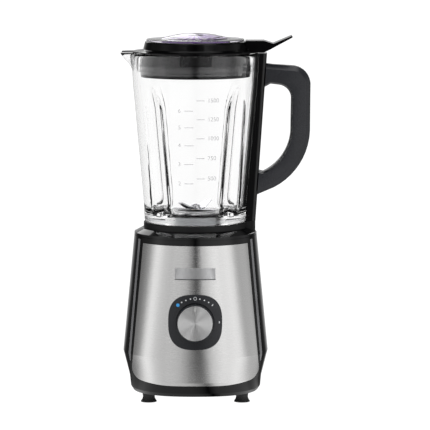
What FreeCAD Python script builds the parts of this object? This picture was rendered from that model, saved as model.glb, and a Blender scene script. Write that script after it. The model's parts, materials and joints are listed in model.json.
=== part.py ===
"""A countertop blender as an assembly: motor base, glass jug with its blades, and lid. Millimetres.

Z is up, the front with its dial faces -Y and the jug's handle points to +X. Every piece is drawn about the
motor's axis, with the floor at Z = FLOOR, and is moved as it is saved, so that the origin is the middle of
the whole outline on the floor.
"""

import FreeCAD, Part

import math
import os

from FreeCAD import Placement, Rotation, Vector

# ---- driving dimensions ----

AXIS_X, AXIS_Y = -23.0, 6.0
FLOOR = -2.2

# Plan sections of the base: height, half-width, half-depth, roundness (2 is an ellipse, more is squarer)
BODY_SECTIONS = (
    (190.4, 72.2, 72.2, 2.0),
    (53.5, 85.4, 79.0, 2.3),
    (24.9, 77.9, 80.6, 2.5),
    (12.5, 76.6, 79.0, 2.5),
    (8.3, 74.0, 75.8, 2.5),
)
BODY_TOP = BODY_SECTIONS[0][0]
BODY_BOTTOM = BODY_SECTIONS[-1][0]
BODY_WALL = 2.6
SECTION_POINTS = 32

SHEET = 1.0  # thickness of the steel front and of the side trims
GLUE = 0.15  # behind each of them
SEAM = 0.3  # shadow gap round an inlaid part
PANEL_TOP, PANEL_TOP_HALF = 184.2, 61.0
PANEL_BOTTOM, PANEL_SIDE_HALF = 21.4, 74.4

DIAL_Z = 95.9
BEZEL_HALF = (31.3, 32.1)
BEZEL_ROUNDNESS = 2.73
BEZEL_PROUD = 1.2
BEZEL_BACK = 8.0
KNOB_R = 21.4
KNOB_FACE = 16.4  # height of the knob's face above the panel
MARK_RADIUS = 30.0  # the marks' arc is flatter than the knob, and its centre lower
MARK_DROP = 2.2
MARK_STEP = 10.5  # degrees between two dial marks

FOOT_X, FOOT_Y = 54.6, 45.0
FOOT_R = 9.25
COVER_THICK = 3.0
COVER_BOSSES = ((62.0, 16.0), (-62.0, 16.0), (62.0, -16.0), (-62.0, -16.0))
BOSS_TOP = 30.0
SCREW_R = 1.6
GLAND_X, GLAND_Z, GLAND_R = 30.0, 34.0, 7.0
GLAND_BORE = 3.6

SHAFT_R = 4.0
COUPLER_TOP = 199.0
STATOR_LOW, STATOR_HIGH = 82.0, 124.0
STATOR_HALF = (36.0, 30.0)
ARMATURE_R = 19.5
LOW_BRACKET, HIGH_BRACKET, BRACKET_THICK = 52.0, 133.0, 3.0
BEARING_R = 8.0
COMMUTATOR_R = 11.0
BRUSH_Z = 67.0
TIE_X, TIE_R = 31.0, 2.0  # the long screws through the stator
POST = 33.0  # the motor hangs from four posts at this distance from both planes
POST_PLACES = [(x, y) for x in (-POST, POST) for y in (-POST, POST)]
POST_FOOT = 137.0

PLUNGER_X, PLUNGER_R = 44.0, 2.5  # the pin that tells the switch that the jug is on
SWITCH_TOP = 166.0
SPRING_LOW, SPRING_HIGH = 172.6, 185.8

SEAT_FLOOR = 193.2  # where the jug stands in the base
SEAT_R = 55.8
JUG_FOOT = 193.7
LUG_INNER = 60.4  # the lug reaches down outside this radius
COLLAR_R, COLLAR_BOTTOM, COLLAR_TOP = 61.0, 198.2, 205.8
GLASS_BOTTOM, GLASS_FLOOR, GLASS_RIM = 206.0, 214.5, 404.8
GLASS_WALL = 5.0
# Outside of the glass: height and radius
GLASS_OUTSIDE = ((GLASS_BOTTOM, 58.2), (208.5, 60.0), (232.6, 61.2), (371.6, 73.6), (GLASS_RIM, 75.2))
GLASS_HOLE_R = 24.6
SEAL_SLEEVE_R = 21.4
FLUTE_R = 20.0
# Along a flute: height, and how deep it cuts into the glass
FLUTE_PATH = ((233.0, 7.5), (342.0, 5.0), (370.0, 0.0))
# The spout's sections: height, how far out its centre is, and radius
SPOUT = ((380.0, 64.0, 7.0), (390.0, 66.5, 10.0), (398.0, 70.5, 13.5), (GLASS_RIM, 73.0, 16.0))
BLADE_Z = 218.4
BLADE_SHAFT_R = 3.0

HANDLE_HALF = 12.5
HANDLE_SCREW_Z = (252.0, 379.0)
STRAP_HALF = 13.0
STRAP_LOW, STRAP_HIGH = 206.9, 404.3
LUG_HALF = 13.0

FIT = 0.05  # radial clearance of a running fit
CLEAR = 0.4  # between pieces that move apart

LID_FLANGE_R, LID_FLANGE_BOTTOM = 74.0, 405.3
LID_TOP = 418.2
LID_HOLE_R, LID_TUBE_LOW = 31.2, 392.0
SKIRT_R, SKIRT_LOW = 64.2, 377.0
SEAL_LIPS = (383.6, 389.6)
TAB_HALF = 14.5
CAP_FLANGE_R, CAP_LOW, CAP_TOP = 57.4, LID_TOP + 0.3, 427.4
CAP_SKIRT_R = LID_HOLE_R - CLEAR
CAP_SEAL = (36.0, 40.0)  # the inner and outer radius of the cap's groove
REACH = 200.0  # longer than anything it has to cut through


# ---- drawing helpers ----


def at(point):
    return Vector(point[0], 0, point[1])


def outline(*points):
    """A closed wire in the XZ plane. A step is a point (x, z), or an arc: a point on it and its end."""
    first = here = at(points[0])
    edges = []
    for step in points[1:]:
        if isinstance(step[0], tuple):
            middle, end = at(step[0]), at(step[1])
            edges.append(Part.Arc(here, middle, end).toShape())
        else:
            end = at(step)
            edges.append(Part.makeLine(here, end))
        here = end
    if here.distanceToPoint(first) > 1e-6:
        edges.append(Part.makeLine(here, first))
    return Part.Wire(edges)


def turned(*points):
    """A solid of revolution about Z. Its points are (radius, height)."""
    return Part.Face(outline(*points)).revolve(Vector(0, 0, 0), Vector(0, 0, 1), 360)


def slab(wire, y0, y1):
    """A wire of the XZ plane made solid from y0 to y1."""
    face = Part.Face(wire)
    face.translate(Vector(0, y0, 0))
    return face.extrude(Vector(0, y1 - y0, 0))


def disc(radius, z0, z1, x=0.0, y=0.0):
    return Part.makeCylinder(radius, z1 - z0, Vector(x, y, z0))


def ring(inner, outer, z0, z1, x=0.0, y=0.0):
    return disc(outer, z0, z1, x, y).cut(disc(inner, z0 - 1, z1 + 1, x, y))


def box(x0, x1, y0, y1, z0, z1):
    return Part.makeBox(x1 - x0, y1 - y0, z1 - z0, Vector(x0, y0, z0))


def round_box(x0, x1, y0, y1, z0, z1, radius):
    """A box with its four upright edges rounded."""
    block = box(x0, x1, y0, y1, z0, z1)
    upright = [e for e in block.Edges if abs(e.tangentAt(e.FirstParameter).z) > 0.99]
    return block.makeFillet(radius, upright)


def about_z(shape, degrees):
    turn = shape.copy()
    turn.rotate(Vector(0, 0, 0), Vector(0, 0, 1), degrees)
    return turn


def around(shape, count, first=0.0):
    """The shape repeated evenly about Z."""
    return [about_z(shape, first + i * 360.0 / count) for i in range(count)]


def mirrored(shape):
    return shape.mirror(Vector(0, 0, 0), Vector(1, 0, 0))


def joined(first, *others):
    return first.fuse(list(others)).removeSplitter()


def group(shapes):
    return Part.makeCompound(shapes)


def superellipse(half_x, half_y, roundness, z):
    points = []
    for i in range(SECTION_POINTS):
        turn = 2 * math.pi * i / SECTION_POINTS
        c, s = math.cos(turn), math.sin(turn)
        reach = (abs(c / half_x) ** roundness + abs(s / half_y) ** roundness) ** (-1 / roundness)
        points.append(Vector(reach * c, reach * s, z))
    curve = Part.BSplineCurve()
    curve.interpolate(points, True)
    return Part.Wire([curve.toShape()])


def body(grow=0.0, beyond=0.0):
    """The base's outside, made larger or smaller, and carried on past its two ends."""
    rows = list(BODY_SECTIONS)
    if beyond:
        rows = [(BODY_TOP + beyond, *rows[0][1:]), *rows, (BODY_BOTTOM - beyond, *rows[-1][1:])]
    wires = [superellipse(a + grow, b + grow, n, z) for z, a, b, n in rows]
    return Part.makeLoft(wires, True, True)


def body_depth(z):
    """How far the base's front stands from the axis at a height between its top and its widest section."""
    (z1, _, y1, _), (z0, _, y0, _) = BODY_SECTIONS[:2]
    return y0 + (y1 - y0) * (z - z0) / (z1 - z0)


DIAL_Y = -body_depth(DIAL_Z)
DIAL_LEAN = math.degrees(math.atan2(body_depth(DIAL_Z) - body_depth(DIAL_Z + 10), 10))


def on_dial(shape):
    """Moves a piece drawn flat, with Z outwards and Y up the panel, to the dial's centre."""
    face = shape.copy()
    face.Placement = Placement(
        Vector(0, DIAL_Y, DIAL_Z), Rotation(Vector(1, 0, 0), 90 - DIAL_LEAN)
    ).multiply(face.Placement)
    return face


def skin(outer, inner):
    """The layer between two offsets of the base's outside."""
    return body(outer, 6).cut(body(inner, 8))


# ---- the base's shell ----


def panel_outline():
    side, top = PANEL_SIDE_HALF, PANEL_TOP_HALF
    return outline(
        (-top, PANEL_TOP),
        (top, PANEL_TOP),
        (side, 39.0),
        ((72.2, 30.2), (62.0, 24.6)),
        ((44.0, 22.2), (25.0, PANEL_BOTTOM)),
        (-25.0, PANEL_BOTTOM),
        ((-44.0, 22.2), (-62.0, 24.6)),
        ((-72.2, 30.2), (-side, 39.0)),
    )


def trim_outline():
    """The long wedge at the base's right side, as it is seen from the front."""
    return outline(
        (64.2, 188.0), (66.6, 188.0), (78.4, 54.5), (76.9, 45.0), (75.9, 45.0), (75.7, 54.5)
    )


def front_prism(wire):
    return slab(wire, 0, -REACH)


def bezel_prism(grow, back, front):
    """The dial window's squircle as a prism square to the panel."""
    half_x, half_y = BEZEL_HALF
    wire = superellipse(half_x + grow, half_y + grow, BEZEL_ROUNDNESS, back)
    return on_dial(Part.Face(wire).extrude(Vector(0, 0, front - back)))


def front_panel():
    sheet = front_prism(panel_outline()).common(skin(0.0, -SHEET))
    return sheet.cut(bezel_prism(0.1, -12, 8))


def side_trims():
    strip = front_prism(trim_outline()).common(skin(0.0, -SHEET))
    return group([strip, mirrored(strip)])


def base_housing():
    shell = body().cut(body(-BODY_WALL, 6))
    for x, y in COVER_BOSSES:
        outer = math.copysign(REACH / 2, x)
        web = box(min(x, outer), max(x, outer), y - 1.5, y + 1.5, BODY_BOTTOM + COVER_THICK, BOSS_TOP)
        boss = disc(4.6, BODY_BOTTOM + COVER_THICK, BOSS_TOP, x, y).fuse(web).common(body(-BODY_WALL / 2))
        bore = disc(SCREW_R, BODY_BOTTOM, BOSS_TOP - 3, x, y)
        shell = shell.fuse(boss).cut(bore)
    panel_bed = front_prism(panel_outline().makeOffset2D(SEAM)).common(skin(1.0, -SHEET - GLUE))
    trim_bed = front_prism(trim_outline().makeOffset2D(SEAM)).common(skin(1.0, -SHEET - GLUE))
    gland_hole = Part.makeCylinder(GLAND_R, 30, Vector(GLAND_X, 60, GLAND_Z), Vector(0, 1, 0))
    for hollow in (panel_bed, trim_bed, mirrored(trim_bed), bezel_prism(0.1, -20, 8), gland_hole):
        shell = shell.cut(hollow)
    return shell


def nameplate():
    """A blank badge that follows the panel."""
    wire = outline((-23.5, 146.2), (23.5, 146.2), (23.5, 158.6), (-23.5, 158.6))
    return front_prism(wire).common(skin(0.7, 0.02))


def bottom_cover():
    z, a, b, n = BODY_SECTIONS[-1]
    inner = superellipse(a - BODY_WALL - 0.2, b - BODY_WALL - 0.2, n, BODY_BOTTOM)
    plate = Part.Face(inner).extrude(Vector(0, 0, COVER_THICK))
    vent = round_box(14, 38, -1.4, 1.4, BODY_BOTTOM - 1, BODY_BOTTOM + 6, 1.3)
    holes = around(vent, 20)
    for x, y in COVER_BOSSES:
        holes.append(disc(SCREW_R + 0.2, 0, 20, x, y))
        holes.append(disc(3.9, 0, BODY_BOTTOM + 1.4, x, y))
    for x, y in foot_places():
        holes.append(disc(4.0, 0, 20, x, y))
    return plate.cut(holes)


def foot_places():
    return [(x, y) for x in (-FOOT_X, FOOT_X) for y in (-FOOT_Y, FOOT_Y)]


def base_feet():
    """Flared rubber feet, each with a neck and a head that grip the bottom cover."""
    lip = BODY_BOTTOM + COVER_THICK
    foot = turned(
        (0, FLOOR + 1.2),
        (4.0, FLOOR + 1.2),
        (6.0, FLOOR),
        (FOOT_R, FLOOR),
        (FOOT_R, FLOOR + 1.2),
        ((7.6, 1.4), (7.0, 4.4)),
        (7.6, BODY_BOTTOM),
        (3.9, BODY_BOTTOM),
        (3.9, lip + 0.05),
        (5.0, lip + 0.05),
        (3.6, lip + 3.2),
        (0, lip + 3.2),
    )
    return group([foot.translated(Vector(x, y, 0)) for x, y in foot_places()])


def base_screws():
    z = BODY_BOTTOM + 1.4
    shank = SCREW_R - 0.05
    screw = turned((0, z - 2.2), (3.4, z - 1.6), (3.6, z), (shank, z), (shank, 25.0), (0, 25.0))
    driver = round_box(-0.5, 0.5, -2.0, 2.0, z - 3, z - 1.2, 0.3)
    screw = screw.cut([driver, about_z(driver, 90)])
    return group([screw.translated(Vector(x, y, 0)) for x, y in COVER_BOSSES])


def cord_gland():
    """The bushing in the rear wall where a mains lead comes in."""
    flange = GLAND_R + 2.0
    plug = turned(
        (GLAND_BORE, -9.0),
        (flange, -9.0),
        (flange, 0.6),
        ((flange - 0.4, 3.0), (5.6, 4.2)),
        (GLAND_BORE, 4.2),
    )
    plug.rotate(Vector(0, 0, 0), Vector(1, 0, 0), -90)
    plug.translate(Vector(GLAND_X, gland_wall(), GLAND_Z))
    hole = Part.makeCylinder(GLAND_R - 0.1, 40, Vector(GLAND_X, 55, GLAND_Z), Vector(0, 1, 0))
    return plug.cut(skin(0.05, -BODY_WALL - 0.05).cut(hole))


def gland_wall():
    """The rear wall's outside at the gland."""
    (z1, a1, b1, n1), (z0, a0, b0, n0) = BODY_SECTIONS[1:3]
    share = (GLAND_Z - z0) / (z1 - z0)
    a, b, n = (low + (high - low) * share for low, high in ((a0, a1), (b0, b1), (n0, n1)))
    return b * (1 - (GLAND_X / a) ** n) ** (1 / n) + 0.8


# ---- the jug's seat on top of the base ----

def top_cover():
    cover = turned(
        (16.5, SEAT_FLOOR - 3.0),
        (16.5, SEAT_FLOOR + 2.0),
        (19.0, SEAT_FLOOR + 2.0),
        (19.0, SEAT_FLOOR),
        (SEAT_R, SEAT_FLOOR),
        (SEAT_R, COLLAR_BOTTOM - CLEAR),
        (62.0, COLLAR_BOTTOM - CLEAR),
        (62.0, 198.3),
        (63.2, 198.6),
        (72.0, 194.0),
        (72.2, 191.0),
        (70.8, BODY_TOP + 0.4),
        (70.8, BODY_TOP),
        (69.2, BODY_TOP),
        (69.2, 185.0),
        (66.0, 185.0),
        (66.0, SEAT_FLOOR - 3.0),
    )
    notch = box(40.0, REACH, -LUG_HALF - CLEAR, LUG_HALF + CLEAR, JUG_FOOT - CLEAR, 2 * REACH)
    cover = cover.cut(notch.cut(disc(LUG_INNER - CLEAR, 0, 2 * REACH)))
    posts = [disc(5.0, POST_FOOT, SEAT_FLOOR - 2.5, x, y) for x, y in POST_PLACES]
    bores = [disc(SCREW_R, POST_FOOT - 1, POST_FOOT + 22, x, y) for x, y in POST_PLACES]
    plunger_hole = disc(PLUNGER_R + FIT, 0, 2 * REACH, PLUNGER_X)
    return joined(cover, *posts).cut([plunger_hole, *bores])


def interlock_plunger():
    """The pin that the jug pushes down to let the motor run."""
    tip, top = SWITCH_TOP + 0.4, SEAT_FLOOR + 4.2
    return turned(
        (0, tip),
        (1.4, tip),
        (PLUNGER_R, tip + 1.2),
        (PLUNGER_R, SPRING_HIGH + 0.2),
        (4.0, SPRING_HIGH + 0.2),
        (4.0, SPRING_HIGH + 1.4),
        (PLUNGER_R, SPRING_HIGH + 1.4),
        (PLUNGER_R, top - 1.0),
        (PLUNGER_R - 1.0, top),
        (0, top),
    ).translated(Vector(PLUNGER_X, 0, 0))


def coil_spring(radius, wire, z0, z1, turns):
    helix = Part.makeHelix((z1 - z0) / turns, z1 - z0, radius)
    section = Part.Wire([Part.makeCircle(wire, Vector(radius, 0, 0), Vector(0, 1, 0))])
    coil = Part.Wire(helix.Edges).makePipeShell([section], True, True)
    coil.translate(Vector(0, 0, z0))
    return coil


def interlock_spring():
    wire = 0.35
    coil = coil_spring(3.3, wire, SPRING_LOW + wire, SPRING_HIGH - wire, 6)
    return coil.translated(Vector(PLUNGER_X, 0, 0))


def plunger_guide():
    """The cup under the seat that holds the plunger's spring, with an arm for the switch."""
    under = SEAT_FLOOR - 3.0
    tube = ring(4.4, 5.6, 171.0, under, PLUNGER_X)
    floor = ring(PLUNGER_R + FIT, 5.0, 171.0, SPRING_LOW - 0.1, PLUNGER_X)
    flange = ring(4.4, 8.5, under - 1.6, under, PLUNGER_X)
    arm = box(PLUNGER_X + 5.1, PLUNGER_X + 6.7, -8, 8, SWITCH_TOP - 12, under)
    return joined(tube, floor, flange, arm)


def micro_switch():
    """The small switch under the plunger."""
    x = PLUNGER_X
    case = round_box(x - 5, x + 5, -10, 10, SWITCH_TOP - 12, SWITCH_TOP - 1.2, 1.0)
    button = disc(1.3, SWITCH_TOP - 1.6, SWITCH_TOP, x)
    tabs = [box(x - 1.5, x + 1.5, y - 0.4, y + 0.4, SWITCH_TOP - 18, SWITCH_TOP - 11.5) for y in (-7, 0, 7)]
    return joined(case, button, *tabs)


# ---- the dial ----


def dial_bezel():
    plate = bezel_prism(0.0, -BEZEL_BACK, 6).common(body(BEZEL_PROUD, 6))
    well = on_dial(disc(KNOB_R + 0.9, -3.6, 20))
    neck_hole = on_dial(disc(5.7, -20, 20))
    lamp_hole = on_dial(mark_disc(2.0, -4 * MARK_STEP, -20, 20))
    return plate.cut([well, neck_hole, lamp_hole])


def mark_disc(radius, degrees, z0, z1):
    """A short pin on the dial's scale. Angles run clockwise from the top."""
    turn = math.radians(degrees)
    return disc(radius, z0, z1, MARK_RADIUS * math.sin(turn), MARK_RADIUS * math.cos(turn) - MARK_DROP)


def dial_marks():
    film = skin(BEZEL_PROUD + 0.25, BEZEL_PROUD + 0.02)
    zero = mark_disc(2.0, 0, -12, 12).cut(mark_disc(1.5, 0, -14, 14))
    dots = [mark_disc(0.8, step * MARK_STEP, -12, 12) for step in (-3, -2, -1, 1, 2, 3)]
    pulse = about_z(box(-0.55, 0.55, MARK_RADIUS - 1.2, MARK_RADIUS + 1.2, -12, 12), -4 * MARK_STEP)
    marks = [zero, *dots, pulse.translated(Vector(0, -MARK_DROP, 0)), box(27.5, 28.6, -1.2, 1.2, -12, 12)]
    return group([on_dial(mark).common(film) for mark in marks])


def indicator_light():
    pipe = on_dial(mark_disc(1.9, -4 * MARK_STEP, -16, 12))
    return pipe.common(body(BEZEL_PROUD + 0.25, 6))


def knob_body():
    drum = turned(
        (4.6, -3.0),
        (KNOB_R + 0.4, -3.0),
        (KNOB_R + 0.2, 0.5),
        (KNOB_R - 0.1, KNOB_FACE - 1.2),
        ((KNOB_R - 0.3, KNOB_FACE - 0.4), (KNOB_R - 0.9, KNOB_FACE - 0.2)),
        (0, KNOB_FACE - 0.2),
        (0, 4.0),
        (4.6, 4.0),
    )
    hollow = ring(8.0, KNOB_R - 2.4, -4, KNOB_FACE - 4)
    face_bed = disc(KNOB_R - 1.1, KNOB_FACE - 1.0, KNOB_FACE + 1)
    sleeve = ring(3.0, 4.8, -3.0, 4.0)
    return on_dial(drum.cut([hollow, face_bed]).fuse(sleeve).removeSplitter())


def knob_face():
    plate = turned(
        (0, KNOB_FACE - 0.95),
        (KNOB_R - 1.2, KNOB_FACE - 0.95),
        (KNOB_R - 1.2, KNOB_FACE - 0.2),
        (KNOB_R - 1.5, KNOB_FACE),
        (0, KNOB_FACE),
    )
    return on_dial(plate.cut(pointer_bar(0.05)))


def pointer_bar(grow=0.0):
    x, low, high = 0.6 + grow, KNOB_R - 7.4 - grow, KNOB_R - 2.6 + grow
    return round_box(-x, x, low, high, KNOB_FACE - 0.5, KNOB_FACE + 0.15, 0.5)


def knob_pointer():
    return on_dial(pointer_bar())


def switch_shaft():
    flat = box(-4, 4, 2.3, 6, -3.0, 10)
    return on_dial(disc(2.95, -20, 3.8).cut(flat))


def rotary_switch():
    """The speed switch, with the knob's shaft in its bore."""
    case = round_box(-13, 13, -13, 13, -22, -12, 2.0)
    neck = disc(5.5, -12.5, -4.0)
    return on_dial(joined(case, neck).cut(disc(2.95 + FIT, -23, 0)))


def control_board():
    board = box(-27, 27, -22, 24, -24.2, -22.6)
    return on_dial(board.cut(disc(4.0, -30, 0)))


def board_parts():
    parts = [
        box(-25, -15, -20, -8, -34, -24.4),
        Part.makeCylinder(5.0, 12, Vector(20, -14, -36.4)),
        Part.makeCylinder(4.0, 9, Vector(20, 2, -33.4)),
        box(-24, -10, 10, 21, -30, -24.4),
        box(-4, 8, 14, 22, -29, -24.4),
        box(12, 25, 12, 22, -27.6, -24.4),
    ]
    return group([on_dial(part) for part in parts])


def board_pillars():
    """Four pillars that hold the control board off the back of the bezel."""
    places = ((-23, -18), (23, -18), (-23, 8), (23, 8))
    pillars = [ring(1.3, 3.0, -22.4, -BEZEL_BACK - 0.1, x, y) for x, y in places]
    return group([on_dial(pillar) for pillar in pillars])


# ---- the motor ----

def tie_bores():
    return [disc(TIE_R + 0.1, 0, REACH, x) for x in (-TIE_X, TIE_X)]


def stator_core():
    half_x, half_y = STATOR_HALF
    block = round_box(-half_x, half_x, -half_y, half_y, STATOR_LOW, STATOR_HIGH, 9.0)
    bore = disc(ARMATURE_R + 0.6, 0, REACH)
    slot = box(-23.5, 23.5, -14.0, 14.0, 0, REACH).common(disc(25.6, 0, REACH))
    ties = tie_bores()
    return block.cut([bore, slot, *ties])


def field_coils():
    """Two windings round the stator's poles, in front of and behind the armature."""
    hoop = round_box(-23.0, 23.0, 20.6, 28.6, STATOR_LOW - 8, STATOR_HIGH + 8, 3.5)
    window = box(-REACH, REACH, 0, REACH, STATOR_LOW - 0.2, STATOR_HIGH + 0.2)
    ends = hoop.cut(window)
    return group([part for turn in (0, 180) for part in about_z(ends, turn).Solids])


def motor_low_bracket():
    base = round_box(-35, 35, -11, 11, LOW_BRACKET, LOW_BRACKET + 4, 6)
    cross = round_box(-9, 9, -38, 38, LOW_BRACKET, LOW_BRACKET + 4, 3)
    legs = [box(x - 4, x + 4, -11, 11, LOW_BRACKET, STATOR_LOW - 0.05) for x in (-TIE_X, TIE_X)]
    clamps = [box(-8, 8, y - 3.5, y + 3.5, LOW_BRACKET, BRUSH_Z + 8.5) for y in (-33.5, 33.5)]
    cup = disc(BEARING_R + 3.5, LOW_BRACKET - 5.0, LOW_BRACKET + 4)
    seat = disc(BEARING_R, LOW_BRACKET - 3.2, LOW_BRACKET + 8)
    bore = disc(SHAFT_R + 1.5, 0, REACH)
    ties = tie_bores()
    window = box(-5.3, 5.3, -REACH, REACH, BRUSH_Z - 6.3, BRUSH_Z + 6.3)
    return joined(base, cross, cup, *legs, *clamps).cut([seat, bore, window, *ties])


def motor_high_bracket():
    plate = disc(56.0, HIGH_BRACKET, HIGH_BRACKET + BRACKET_THICK)
    legs = [box(x - 4, x + 4, -11, 11, STATOR_HIGH + 0.05, HIGH_BRACKET + 1) for x in (-TIE_X, TIE_X)]
    cup = disc(BEARING_R + 3.5, HIGH_BRACKET, HIGH_BRACKET + 9)
    seat = disc(BEARING_R, HIGH_BRACKET - 2, HIGH_BRACKET + 7.2)
    bore = disc(SHAFT_R + 1.5, 0, REACH)
    ties = tie_bores()
    grommets = [disc(5.5, 0, REACH, x, y) for x, y in POST_PLACES]
    vent = round_box(24.5, 43, -4, 4, HIGH_BRACKET - 1, HIGH_BRACKET + 5, 3)
    vents = [about_z(vent, turn) for turn in (90, 270)]
    return joined(plate, cup, *legs).cut([seat, bore, *ties, *grommets, *vents])


def bearing(z):
    """A ball bearing drawn as one closed ring, with a running fit round the shaft."""
    return ring(SHAFT_R + FIT, BEARING_R - 0.02, z, z + 6.9)


def lower_bearing():
    return bearing(LOW_BRACKET - 3.1)


def upper_bearing():
    return bearing(HIGH_BRACKET + 0.2)


def motor_tie_screws():
    low, high = LOW_BRACKET, HIGH_BRACKET + BRACKET_THICK
    screw = turned(
        (0, low - 3), (3.8, low - 3), (3.8, low), (TIE_R, low), (TIE_R, high + 5), (0, high + 5)
    )
    corner = Vector(4.0, 0, high)
    turns = [Rotation(Vector(0, 0, 1), 60 * i) for i in range(7)]
    nut = Part.Face(Part.makePolygon([turn.multVec(corner) for turn in turns])).extrude(Vector(0, 0, 3.2))
    bolt = joined(screw, nut)
    return group([bolt.translated(Vector(x, 0, 0)) for x in (-TIE_X, TIE_X)])


def motor_grommets():
    """Rubber rings that keep the motor's hum out of the shell."""
    low, high = HIGH_BRACKET, HIGH_BRACKET + BRACKET_THICK
    grommet = turned(
        (2.6, low - 2.6),
        (7.6, low - 2.6),
        (7.6, low - 0.05),
        (5.4, low - 0.05),
        (5.4, high + 0.05),
        (7.6, high + 0.05),
        (7.6, POST_FOOT - 0.1),
        (2.6, POST_FOOT - 0.1),
    )
    return group([grommet.translated(Vector(x, y, 0)) for x, y in POST_PLACES])


def motor_screws():
    low, tip, shank = HIGH_BRACKET - 2.7, 154.0, SCREW_R - 0.05
    screw = turned((0, low - 2.4), (3.6, low - 2.0), (4.4, low), (shank, low), (shank, tip), (0, tip))
    return group([screw.translated(Vector(x, y, 0)) for x, y in POST_PLACES])


def brush_box(y0, y1, half_x, half_z):
    return box(-half_x, half_x, y0, y1, BRUSH_Z - half_z, BRUSH_Z + half_z)


def brush_holders():
    tube = brush_box(14.0, 38.0, 5.2, 6.2).cut(brush_box(13.0, 36.8, 3.7, 4.7))
    return group([tube, about_z(tube, 180)])


def carbon_brushes():
    """Each brush is hollowed to the commutator's round, with a running gap."""
    brush = brush_box(9.0, 26.0, 3.6, 4.6).cut(disc(COMMUTATOR_R + 0.35, 0, REACH))
    return group([brush, about_z(brush, 180)])


def brush_springs():
    coil = coil_spring(2.6, 0.35, 26.5, 36.3, 5)
    coil.rotate(Vector(0, 0, 0), Vector(1, 0, 0), -90)
    coil = coil.translated(Vector(0, 0, BRUSH_Z))
    return group([coil, about_z(coil, 180)])


def motor_shaft():
    return turned((0, 38.0), (SHAFT_R - 0.3, 38.0), (SHAFT_R, 38.6), (SHAFT_R, 196.0), (0, 196.0))


def bored(shape, radius=SHAFT_R):
    return shape.cut(disc(radius, 0, 2 * REACH))


def armature_core():
    core = disc(ARMATURE_R, STATOR_LOW, STATOR_HIGH)
    slot = box(ARMATURE_R - 7, ARMATURE_R + 2, -1.3, 1.3, 0, REACH)
    return bored(core.cut(around(slot, 12)))


def armature_windings():
    """The end turns at both ends of the armature, and the coil sides in its slots."""
    bottom, top = STATOR_LOW - 0.05, STATOR_HIGH + 0.05
    low = turned((5.0, 76.0), (13.5, 76.0), (17.0, 79.5), (17.5, bottom), (5.0, bottom))
    high = turned((5.0, top), (17.5, top), (16.5, 128.5), (13.0, 130.5), (5.0, 130.5))
    side = box(ARMATURE_R - 6.6, ARMATURE_R - 2.2, -1.2, 1.2, STATOR_LOW - 1, STATOR_HIGH + 1)
    return joined(low, high, *around(side, 12))


def commutator():
    drum = ring(SHAFT_R, COMMUTATOR_R, 59.5, 74.5)
    riser = ring(SHAFT_R, COMMUTATOR_R + 1.5, 73.0, 75.8)
    slot = box(COMMUTATOR_R - 1.2, COMMUTATOR_R + 3, -0.25, 0.25, 50, 80)
    return joined(drum, riser).cut(around(slot, 24))


def cooling_fan():
    """The fan at the shaft's foot, which draws air over the motor and out through the bottom."""
    hub = ring(SHAFT_R, 8.0, 39.5, 46.0)
    floor = ring(SHAFT_R, 34.0, 44.4, 46.0)
    blade = box(7.0, 33.0, -0.7, 0.7, 34.5, 45.0)
    blade.rotate(Vector(20, 0, 0), Vector(0, 0, 1), 28)
    return joined(hub, floor, *around(blade, 12))


def drive_coupler():
    """The toothed rubber-on-steel dog that drives the jug."""
    base = disc(13.5, 186.0, 192.0)
    stem = disc(6.2, 191.0, COUPLER_TOP)
    tooth = box(4.0, 8.4, -1.9, 1.9, 191.0, COUPLER_TOP - 0.6)
    dog = joined(base, stem, *around(tooth, 6))
    return dog.cut(disc(SHAFT_R, 100, 196.05))


# ---- the jug ----


def jug_collar():
    """The black ring under the glass, its foot in the seat and the lug that stops it turning."""
    hoop = turned(
        (36.0, COLLAR_BOTTOM),
        (COLLAR_R - 0.6, COLLAR_BOTTOM),
        (COLLAR_R, COLLAR_BOTTOM + 0.6),
        (COLLAR_R, COLLAR_TOP - 0.6),
        (COLLAR_R - 0.6, COLLAR_TOP),
        (36.0, COLLAR_TOP),
    )
    foot = ring(50.5, SEAT_R - CLEAR, JUG_FOOT, COLLAR_BOTTOM + 1)
    lug = round_box(54.0, 70.4, -LUG_HALF, LUG_HALF, JUG_FOOT, 206.6, 3.0)
    lug = lug.cut(disc(SEAT_R - CLEAR, JUG_FOOT - 1, COLLAR_BOTTOM))
    lug = lug.cut(disc(glass_radius(GLASS_BOTTOM) + 2.4, COLLAR_TOP, REACH * 2))
    shelf = disc(LUG_INNER, JUG_FOOT - 1, COLLAR_BOTTOM).cut(disc(SEAT_R - CLEAR, 0, 2 * REACH))
    return joined(hoop, foot, lug).cut(shelf)


def glass_radius(z):
    for (z0, r0), (z1, r1) in zip(GLASS_OUTSIDE, GLASS_OUTSIDE[1:]):
        if z <= z1:
            return r0 + (r1 - r0) * (z - z0) / (z1 - z0)
    return GLASS_OUTSIDE[-1][1]


def flute(grow):
    """A round channel down the outside of the glass, which runs out to a point at its top."""
    radius = FLUTE_R + grow
    spine = [Vector(glass_radius(z) - deep + FLUTE_R, 0, z) for z, deep in FLUTE_PATH]
    channel = Part.makeSphere(radius, spine[0])
    for start, end in zip(spine, spine[1:]):
        run = end - start
        length = Part.makeCylinder(radius, run.Length, start, run)
        channel = channel.fuse([length, Part.makeSphere(radius, end)])
    return channel


def spout(shrink):
    """The beak on the -X side: round sections that lean out to its tip. Its inside is open above."""
    wires = [Part.Wire([Part.makeCircle(r - shrink, Vector(-x, 0, z))]) for z, x, r in SPOUT]
    beak = Part.makeLoft(wires, True, False)
    _, x, r = SPOUT[-1]
    return beak.fuse(disc(r - shrink, GLASS_RIM, GLASS_RIM + 4, -x)) if shrink else beak


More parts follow.
